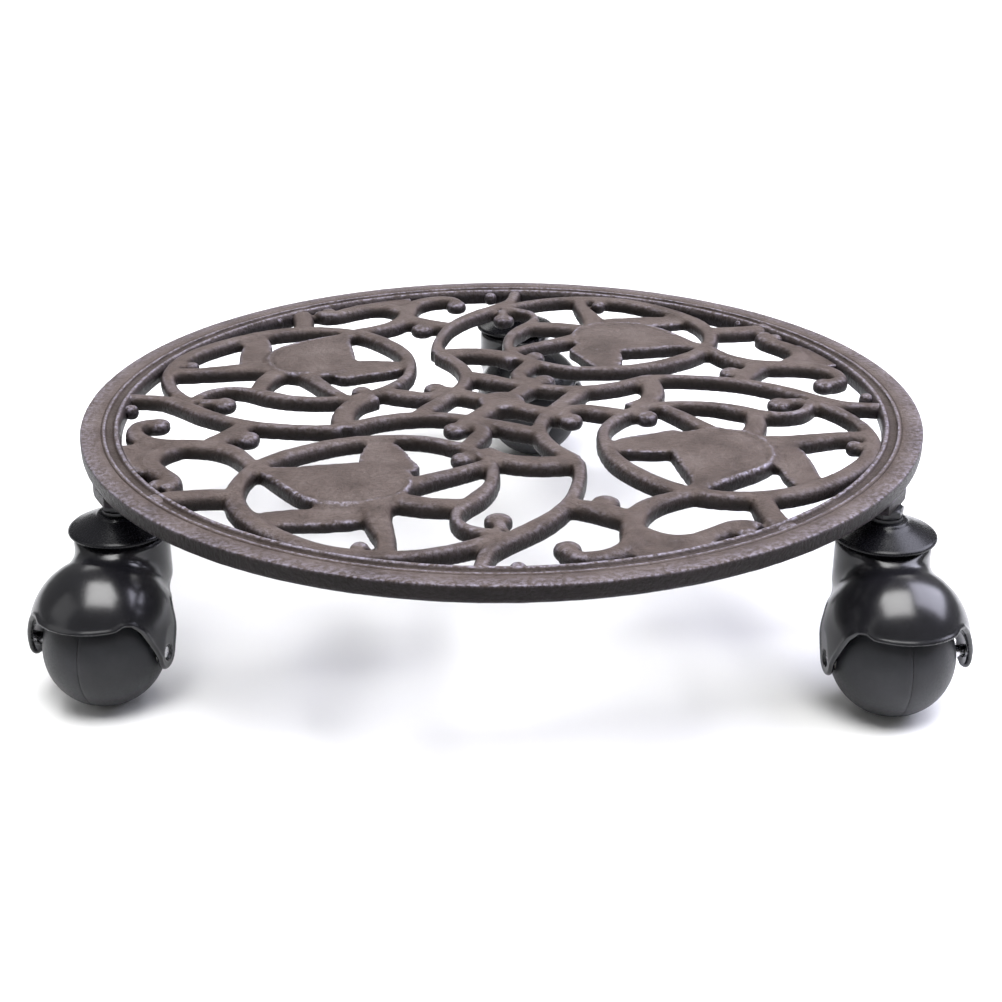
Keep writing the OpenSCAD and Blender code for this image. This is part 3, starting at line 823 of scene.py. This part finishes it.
def roundCone(x, y, z, top, topRadius, low, lowRadius):
    # distance to the hull of two balls
    axis = np.array(low, float) - top
    length = np.linalg.norm(axis)
    axis = axis / length
    px, py, pz = x - top[0], y - top[1], z - top[2]
    along = px * axis[0] + py * axis[1] + pz * axis[2]
    across = np.sqrt(np.maximum(px * px + py * py + pz * pz - along * along, 0))
    lean = (topRadius - lowRadius) / length
    rise = math.sqrt(1 - lean * lean)
    side = across * rise + along * lean
    k = -across * lean + along * rise
    atTop = np.sqrt(across ** 2 + along ** 2) - topRadius
    atLow = np.sqrt(across ** 2 + (along - length) ** 2) - lowRadius
    return np.where(k < 0, atTop, np.where(k > length * rise, atLow, side - topRadius))


def roundDrum(x, y, z, radius, span, edge):
    low, high = span
    across = np.hypot(x, y) - (radius - edge)
    up = np.abs(z - (low + high) / 2) - ((high - low) / 2 - edge)
    return (np.minimum(np.maximum(across, up), 0)
            + np.hypot(np.maximum(across, 0), np.maximum(up, 0)) - edge)


def hoodDistance(x, y, z):
    # signed distance of the hood in caster mm, negative in the plastic
    bx, bz = x - trail, z - ballHeight
    fromBall = np.sqrt(bx * bx + y * y + bz * bz)
    domeTop = (trail - hood["domeBack"], 0, ballHeight + hood["domeRise"])
    dome = roundCone(x, y, z, domeTop, hood["domeRadius"], (trail, 0, ballHeight), hood["domeRadius"])
    boss = roundDrum(x, y, z, hood["bossRadius"], hood["bossSpan"], hood["bossRound"])
    neck = roundDrum(x, y, z, hood["neckRadius"], hood["neckSpan"], hood["neckRound"])
    outer = np.minimum(blendMin(dome, boss, hood["blend"]), neck)
    outer = np.maximum(outer, np.abs(y) - hood["earFlat"])
    pin = np.hypot(bx, bz)
    opening = np.maximum(-edgeDistance(bx, bz, np.array(mouth, float)), hood["earRadius"] - pin)
    solid = -blendMin(-outer, opening, hood["soften"])
    lip = np.hypot(outer + hood["lipIn"], opening) - hood["lipTube"]
    solid = blendMin(solid, lip, hood["lipBlend"])
    solid = np.maximum(solid, hood["cavityRadius"] - fromBall)
    solid = np.maximum(solid, hood["axleBore"] - pin)
    solid = np.maximum(solid, -np.maximum(pin - hood["pocketRadius"], hood["pocketFloor"] - np.abs(y)))
    stem = np.hypot(x, y)
    solid = np.maximum(solid, -np.maximum(stem - hood["bushRadius"], hood["boreBottom"] - z))
    race = np.hypot(stem - hood["raceRadius"], z - hood["raceHeight"]) - hood["raceTube"]
    return np.maximum(solid, -race)


def netSurface(distance, low, high, step):
    # naive surface net on a regular grid, then two steps onto the true surface
    axes = [np.arange(a, b + step, step) for a, b in zip(low, high)]
    x, y, z = np.meshgrid(*axes, indexing="ij")
    values = distance(x, y, z)
    inside = values < 0
    shape = np.array(values.shape) - 1
    total = np.zeros((*shape, 3))
    hits = np.zeros(shape)
    crossings = []
    for axis in range(3):
        first = [slice(None)] * 3
        second = [slice(None)] * 3
        first[axis], second[axis] = slice(0, -1), slice(1, None)
        a, b = values[tuple(first)], values[tuple(second)]
        cross = inside[tuple(first)] != inside[tuple(second)]
        part = np.where(cross, a / np.where(cross, a - b, 1), 0)
        crossings.append((cross, inside[tuple(first)]))
        others = [k for k in range(3) if k != axis]
        for du in (0, 1):
            for dv in (0, 1):
                pick = [slice(None)] * 3
                pick[others[0]] = slice(du, du + shape[others[0]])
                pick[others[1]] = slice(dv, dv + shape[others[1]])
                on = cross[tuple(pick)]
                offset = [0, 0, 0]
                offset[others[0]], offset[others[1]] = du, dv
                for k in range(3):
                    total[..., k] += np.where(on, part[tuple(pick)] if k == axis else offset[k], 0)
                hits += on
    cells = np.argwhere(hits > 0)
    number = -np.ones(shape, int)
    number[tuple(cells.T)] = np.arange(len(cells))
    points = cells + total[tuple(cells.T)] / hits[tuple(cells.T)][:, None]
    points = points * step + np.array([axis[0] for axis in axes])
    faces = []
    for axis, (cross, startsInside) in enumerate(crossings):
        u, v = (axis + 1) % 3, (axis + 2) % 3
        spots = np.argwhere(cross)
        inU = (spots[:, u] > 0) & (spots[:, u] < shape[u])
        inV = (spots[:, v] > 0) & (spots[:, v] < shape[v])
        spots = spots[inU & inV]
        back = np.zeros((4, 3), int)
        back[1, u] = back[2, u] = back[2, v] = back[3, v] = 1
        quad = np.stack([number[tuple((spots - b).T)] for b in back], axis=1)
        keep = startsInside[tuple(spots.T)]
        faces.append(np.where(keep[:, None], quad, quad[:, ::-1]))
    faces = np.vstack(faces)
    reach = step * 0.2
    nudges = reach * np.eye(3)
    for _ in range(2):
        here = distance(*points.T)
        rises = [distance(*(points + nudge).T) - distance(*(points - nudge).T) for nudge in nudges]
        slope = np.stack(rises, axis=1) / (2 * reach)
        size = np.maximum((slope ** 2).sum(1), 0.25)
        points = points - np.clip(here / size, -step, step)[:, None] * slope * 0.9
    return points, faces


def placed(points, matrix):
    # caster mm to metres in the shared frame
    turn = np.array(matrix.to_3x3())
    return points * mm @ turn.T + np.array(matrix.translation)


hoodPoints, hoodFaces = netSurface(hoodDistance, hood["low"], hood["high"], hood["grid"])
for side in sides:
    mesh = newMesh("hoodShell_" + side, placed(hoodPoints, casterPlace(side)), hoodFaces)
    smoothShade(mesh, 55)
    settle(newObject("hoodShell_" + side, mesh), "swivel_" + side, "hood_plastic", "hood_" + side)
print("hoods:", len(hoodFaces), "faces each")

cap = {
    "steps": 192,
    "section": [(3.2, -17.6), (3.2, -13.6), (3.4, -13.4), (6.4, -13.4), (7.0, -13.6), (7.3, -14.1),
                (7.8, -14.5), (9.3, -15.1), (11.8, -16.2), (14.2, -17.3), (15.7, -17.9), (16.4, -18.2),
                (16.85, -18.6), (16.98, -19.0), (16.85, -19.4), (16.4, -19.6), (16.0, -19.45),
                (15.5, -18.8), (15.0, -18.1), (14.4, -17.7), (13.6, -17.6)],
}
nut = {
    "apothem": 5.0, "bottom": -12.2, "top": -9, "bore": 3.0,   # mm
    "chamfer": 0.6, "faceIn": 0.2, "ease": 0.3,                # mm
    "steps": 144,
}


def hexNut():
    corner = nut["apothem"] / math.cos(math.pi / 6)
    face = nut["apothem"] - nut["faceIn"]
    bore, ease = nut["bore"], nut["ease"]
    rows = [(bore + ease, nut["bottom"]), (face, nut["bottom"]), (corner, nut["bottom"] + nut["chamfer"]),
            (corner, nut["top"] - nut["chamfer"]), (face, nut["top"]), (bore + ease, nut["top"]),
            (bore, nut["top"] - ease), (bore, nut["bottom"] + ease)]
    points, faces = lathe(rows, nut["steps"])
    angle = np.arctan2(points[:, 1], points[:, 0])
    flat = (angle + math.pi / 6) % (math.pi / 3) - math.pi / 6
    reach = np.hypot(points[:, 0], points[:, 1])
    points[:, :2] *= (np.minimum(reach, nut["apothem"] / np.cos(flat)) / reach)[:, None]
    return points, faces


ball = {
    "radius": 20.0, "wall": 3.4, "hub": 6.0, "bore": 4.0,     # mm
    "seam": 0.12, "seamRound": 0.21, "seamFade": 0.5,         # mm
    "steps": 144, "rings": 40,
}


def ballHalf():
    # half ball turned about Z with its flat at z = 0, hollow, with a hub round the sleeve
    start = math.asin(ball["bore"] / ball["radius"])
    rows = []
    for k in range(ball["rings"] + 1):
        angle = start + (math.pi / 2 - start) * k / ball["rings"]
        height = ball["radius"] * math.cos(angle)
        inset = ball["seamRound"] * math.exp(-height / ball["seamFade"])
        rows.append((ball["radius"] * math.sin(angle) - inset, max(height, ball["seam"] / 2)))
    inner = ball["radius"] - ball["wall"]
    stop = math.asin(ball["hub"] / inner)
    for k in range(ball["rings"] // 2 + 1):
        angle = math.pi / 2 + (stop - math.pi / 2) * k / (ball["rings"] // 2)
        rows.append((inner * math.sin(angle), max(inner * math.cos(angle), ball["seam"] / 2)))
    rows += [(ball["hub"], ball["seam"] / 2), (ball["bore"], ball["seam"] / 2)]
    return lathe(rows[::-1], ball["steps"])


nutPoints, nutFaces = hexNut()
capPoints, capFaces = lathe(cap["section"], cap["steps"])
halfPoints, halfFaces = ballHalf()
for side in sides:
    spot = casterPlace(side)
    mesh = newMesh("flangeCap_" + side, placed(capPoints, spot), capFaces)
    smoothShade(mesh, 45)
    settle(newObject("flangeCap_" + side, mesh), "plate", "cap_black", "flange_cap_" + side)
    mesh = newMesh("hexNut_" + side, placed(nutPoints, spot), nutFaces)
    smoothShade(mesh, 30)
    settle(newObject("hexNut_" + side, mesh), "plate", "black_steel", "lock_nut_" + side)
    axis = Vector(joints["roll_" + side]["axis"])
    pivot = Vector(joints["roll_" + side]["pos_m"])
    # the ball has slid along its axle, so its centre comes from the boxes of its halves
    middles = {letter: sum(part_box("wheel_half_" + letter + "_" + side), Vector()) / 2 for letter in "ab"}
    centre = pivot + axis * ((middles["a"] + middles["b"]) / 2 - pivot).dot(axis)
    for letter, middle in middles.items():
        outward = 1 if (middle - centre).dot(axis) > 0 else -1
        turn = (axis * outward).to_track_quat("Z", "Y").to_matrix().to_4x4()
        name = "ballHalf_" + letter + "_" + side
        mesh = newMesh(name, placed(halfPoints, Matrix.Translation(centre) @ turn), halfFaces)
        smoothShade(mesh, 50)
        settle(newObject(name, mesh), "wheel_" + side, "ball_plastic", "wheel_half_" + letter + "_" + side)
print("caps, nuts and balls placed")

studio = {
    "floorHalf": 4.0, "floorTone": (0.78, 0.78, 0.78), "worldTone": (1.0, 1.0, 1.0), "worldPower": 0.28,
    "lamps": [   # name, place in m, size m, power W, colour
        ("overhead", (0.0, -0.34, 1.62), 1.25, 56, (1.0, 1.0, 1.0)),
        ("right", (0.78, 0.10, 0.72), 0.78, 17, (0.84, 0.84, 1.0)),
        ("left", (-1.4, -0.5, 0.9), 1.0, 3, (1.0, 1.0, 1.0)),
        ("back", (0.0, 3.0, 1.9), 2.6, 75, (1.0, 1.0, 1.0)),
    ],
}


def buildStudio():
    half = studio["floorHalf"]
    low = cadBounds[0][2]
    corners = [(-half, -half, low), (half, -half, low), (half, half, low), (-half, half, low)]
    mesh = newMesh("floor", corners, [(0, 1, 2, 3)])
    tone = bpy.data.materials.new("paleFloor")
    tone.use_nodes = True
    shader = tone.node_tree.nodes["Principled BSDF"]
    shader.inputs["Base Color"].default_value = (*studio["floorTone"], 1)
    shader.inputs["Roughness"].default_value = 0.8
    mesh.materials.append(tone)
    staged = [newObject("floor", mesh)]
    for name, place, size, power, colour in studio["lamps"]:
        lamp = bpy.data.lights.new(name, "AREA")
        lamp.size = size
        lamp.energy = power
        lamp.color = colour
        holder = newObject(name, lamp)
        away = Vector((0, 0, 1)) if name == "back" else Vector(place)
        holder.matrix_world = Matrix.Translation(place) @ away.to_track_quat("Z", "Y").to_matrix().to_4x4()
        staged.append(holder)
    world = bpy.data.worlds.new("studio")
    scene.world = world
    world.use_nodes = True
    background = world.node_tree.nodes["Background"]
    background.inputs["Color"].default_value = (*studio["worldTone"], 1)
    background.inputs["Strength"].default_value = studio["worldPower"]
    scene.view_settings.view_transform = "Standard"


buildStudio()
